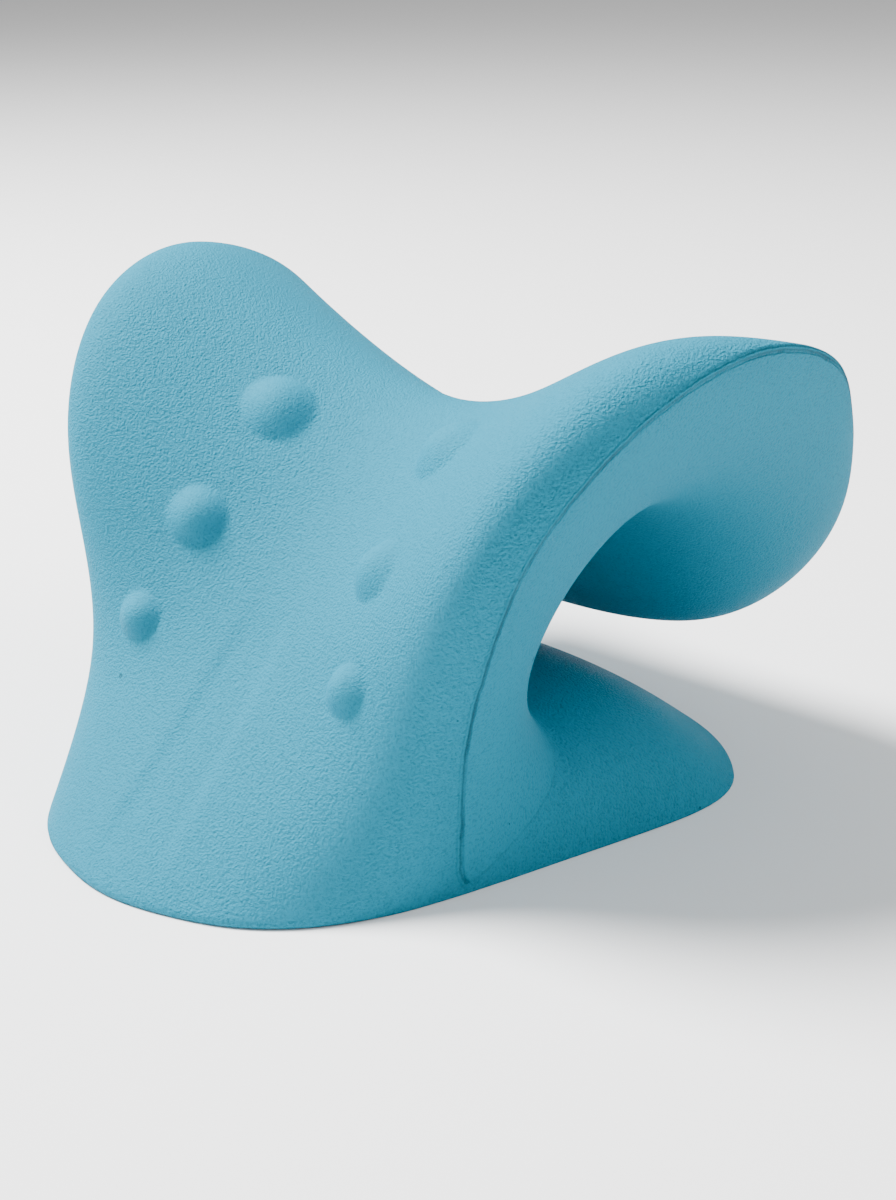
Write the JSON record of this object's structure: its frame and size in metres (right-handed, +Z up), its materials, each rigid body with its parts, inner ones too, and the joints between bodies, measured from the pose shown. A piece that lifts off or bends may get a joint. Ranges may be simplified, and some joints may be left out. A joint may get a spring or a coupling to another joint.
{
  "type": "foam neck traction pillow",
  "caption": "One-piece moulded foam neck and shoulder stretcher: C-shaped body with a saddle between two wings, raised massage nodes on the front and a flat base.",
  "frame": {"origin": "on the support surface, on the symmetry plane, under the middle of the depth", "axes": "+Z up, X across the width (symmetric about X=0), -Y towards the toe and massage nodes, +Y towards the open mouth of the C"},
  "size_m": [0.22, 0.223, 0.143],
  "materials": {
    "foam_skin": "matte self-skinned foam with fine orange-peel grain"
  },
  "bodies": {
    "root": {"foam_body": "foam_skin"}
  },
  "joints": []
}
